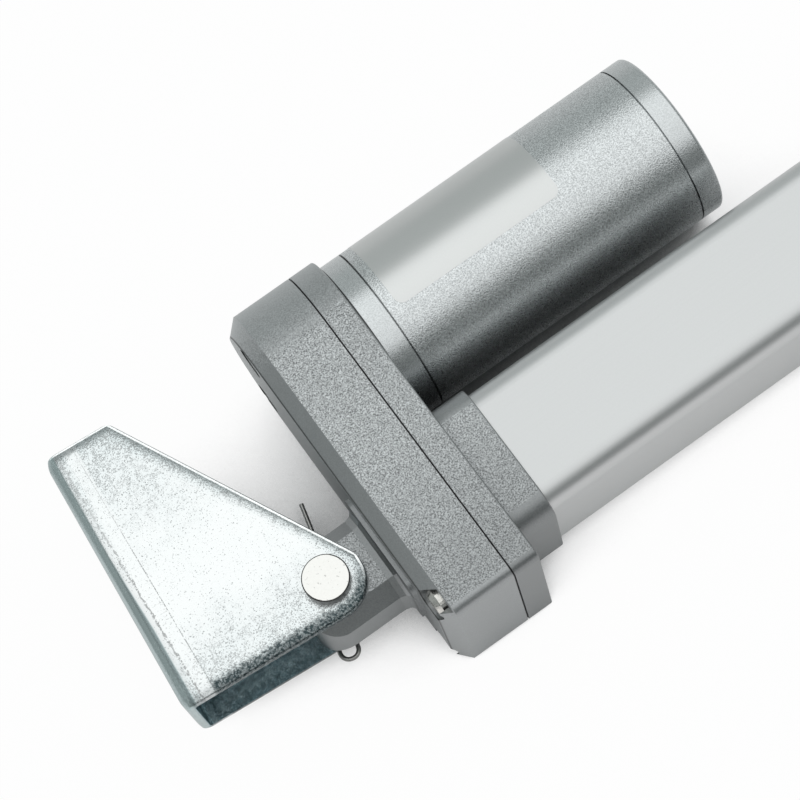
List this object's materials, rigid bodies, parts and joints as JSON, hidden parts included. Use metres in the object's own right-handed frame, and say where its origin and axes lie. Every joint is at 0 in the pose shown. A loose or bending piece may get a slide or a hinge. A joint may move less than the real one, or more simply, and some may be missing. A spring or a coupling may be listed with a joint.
{
  "type": "electric linear actuator",
  "caption": "Electric linear actuator with a parallel motor, cast gear housing, square tube, push rod and a folded clevis bracket at its rear pivot.",
  "frame": {"origin": "on the bracket's base face, straight behind the middle of the pivot pin", "axes": "+X from the bracket's base to the pivot pin and on towards the rod end; +Y along the base, to the motor's side; +Z along the pivot pin, up, with the actuator lying on its side"},
  "size_m": [0.5011, 0.091, 0.04],
  "materials": {
    "zinc_steel": "bright bluish zinc plating",
    "pin_steel": "bright plated steel",
    "cast_paint": "die-cast, textured silver grey paint",
    "cap_paint": "die-cast, textured silver grey paint",
    "tube_anodised": "matt clear anodised extrusion",
    "rod_steel": "ground stainless steel",
    "motor_paint": "satin silver paint",
    "black_rubber": "matt black rubber",
    "screw_steel": "zinc plated steel",
    "machined_steel": "turned steel",
    "bearing_steel": "polished bearing steel",
    "gear_steel": "cut steel",
    "gear_plastic": "natural acetal",
    "bronze": "sintered bronze",
    "bush_plastic": "black acetal",
    "switch_plastic": "black moulded plastic",
    "button_plastic": "red moulded plastic",
    "rail_board": "green circuit board",
    "lamination": "laminated electrical steel",
    "copper": "enamelled copper",
    "ferrite": "dark grey ferrite",
    "carbon": "carbon graphite"
  },
  "bodies": {
    "bracket": {"rear_bracket": "zinc_steel"},
    "actuator": {"clevis_pin": "pin_steel", "hairpin_clip": "pin_steel", "rear_cover": "cast_paint", "cable_grommet": "black_rubber", "housing_gasket": "black_rubber", "housing_screws": "screw_steel", "gear_housing": "cast_paint", "idler_axle": "machined_steel", "screw_rear_bush": "bronze", "bearing_outer": "bearing_steel", "outer_tube": "tube_anodised", "tube_gasket": "black_rubber", "front_cap": "cap_paint", "cap_screws": "screw_steel", "rod_bush": "bush_plastic", "rod_wiper": "black_rubber", "limit_switches": "switch_plastic", "switch_rail": "rail_board", "motor_ring": "motor_paint", "motor_screws": "screw_steel", "output_bush": "bronze", "motor_can": "motor_paint", "motor_plate": "machined_steel", "motor_front_bush": "bronze", "motor_end_cap": "motor_paint", "motor_rear_bush": "bronze", "ring_gear": "gear_steel", "magnets": "ferrite", "brush_holder": "switch_plastic", "brushes": "carbon"},
    "rod": {"push_rod": "rod_steel", "rod_end": "rod_steel", "lead_nut": "bronze", "nut_guide": "bush_plastic"},
    "screw": {"lead_screw": "machined_steel", "screw_gear": "gear_plastic", "bearing_inner": "bearing_steel"},
    "ball_set": {"bearing_balls": "bearing_steel"},
    "idler": {"idler_gear": "gear_plastic"},
    "output": {"planet_carrier": "machined_steel", "planet_pins": "machined_steel", "drive_pinion": "gear_steel"},
    "planet_1": {"planet_gear_1": "gear_plastic"},
    "planet_2": {"planet_gear_2": "gear_plastic"},
    "planet_3": {"planet_gear_3": "gear_plastic"},
    "rotor": {"motor_shaft": "machined_steel", "sun_gear": "gear_steel", "armature_core": "lamination", "windings": "copper", "commutator": "copper"},
    "rear_button": {"rear_plunger": "button_plastic"},
    "front_button": {"front_plunger": "button_plastic"}
  },
  "joints": [
    {"name": "pivot", "type": "hinge", "parent": "bracket", "child": "actuator", "pos_m": [0.038, 0, 0], "axis": [0, 0, 1], "range_deg": [-94, 25]},
    {"name": "rod_slide", "type": "slide", "parent": "actuator", "child": "rod", "axis": [0.9965, 0.0837, 0], "range_m": [0, 0.35]},
    {"name": "screw_spin", "type": "hinge", "parent": "actuator", "child": "screw", "pos_m": [0.038, 0, 0], "axis": [0.9965, 0.0837, 0], "continuous": true},
    {"name": "ball_spin", "type": "hinge", "parent": "actuator", "child": "ball_set", "pos_m": [0.038, 0, 0], "axis": [0.9965, 0.0837, 0], "continuous": true},
    {"name": "idler_spin", "type": "hinge", "parent": "actuator", "child": "idler", "pos_m": [0.03608, 0.02292, 0], "axis": [0.9965, 0.0837, 0], "continuous": true},
    {"name": "output_spin", "type": "hinge", "parent": "actuator", "child": "output", "pos_m": [0.03461, 0.04036, 0], "axis": [0.9965, 0.0837, 0], "continuous": true},
    {"name": "rotor_spin", "type": "hinge", "parent": "actuator", "child": "rotor", "pos_m": [0.03461, 0.04036, 0], "axis": [0.9965, 0.0837, 0], "continuous": true},
    {"name": "planet_1_spin", "type": "hinge", "parent": "output", "child": "planet_1", "pos_m": [0.03386, 0.04933, 0], "axis": [0.9965, 0.0837, 0], "continuous": true},
    {"name": "planet_2_spin", "type": "hinge", "parent": "output", "child": "planet_2", "pos_m": [0.03499, 0.03587, 0.00779], "axis": [0.9965, 0.0837, 0], "continuous": true},
    {"name": "planet_3_spin", "type": "hinge", "parent": "output", "child": "planet_3", "pos_m": [0.03499, 0.03587, -0.00779], "axis": [0.9965, 0.0837, 0], "continuous": true},
    {"name": "rear_press", "type": "slide", "parent": "actuator", "child": "rear_button", "axis": [-0.9965, -0.0837, 0], "range_m": [0, 0.0006], "stiffness_N_per_m": 800},
    {"name": "front_press", "type": "slide", "parent": "actuator", "child": "front_button", "axis": [0.9965, 0.0837, 0], "range_m": [0, 0.0006], "stiffness_N_per_m": 800}
  ],
  "couplings": [
    {"joint": "screw_spin", "follows": "rod_slide", "rad_per_m": -1047.2},
    {"joint": "ball_spin", "follows": "rod_slide", "rad_per_m": -387.46},
    {"joint": "idler_spin", "follows": "rod_slide", "rad_per_m": 1629},
    {"joint": "output_spin", "follows": "rod_slide", "rad_per_m": -1724.8},
    {"joint": "rotor_spin", "follows": "rod_slide", "rad_per_m": -6899.2},
    {"joint": "planet_1_spin", "follows": "rod_slide", "rad_per_m": 5174.4},
    {"joint": "planet_2_spin", "follows": "rod_slide", "rad_per_m": 5174.4},
    {"joint": "planet_3_spin", "follows": "rod_slide", "rad_per_m": 5174.4}
  ]
}
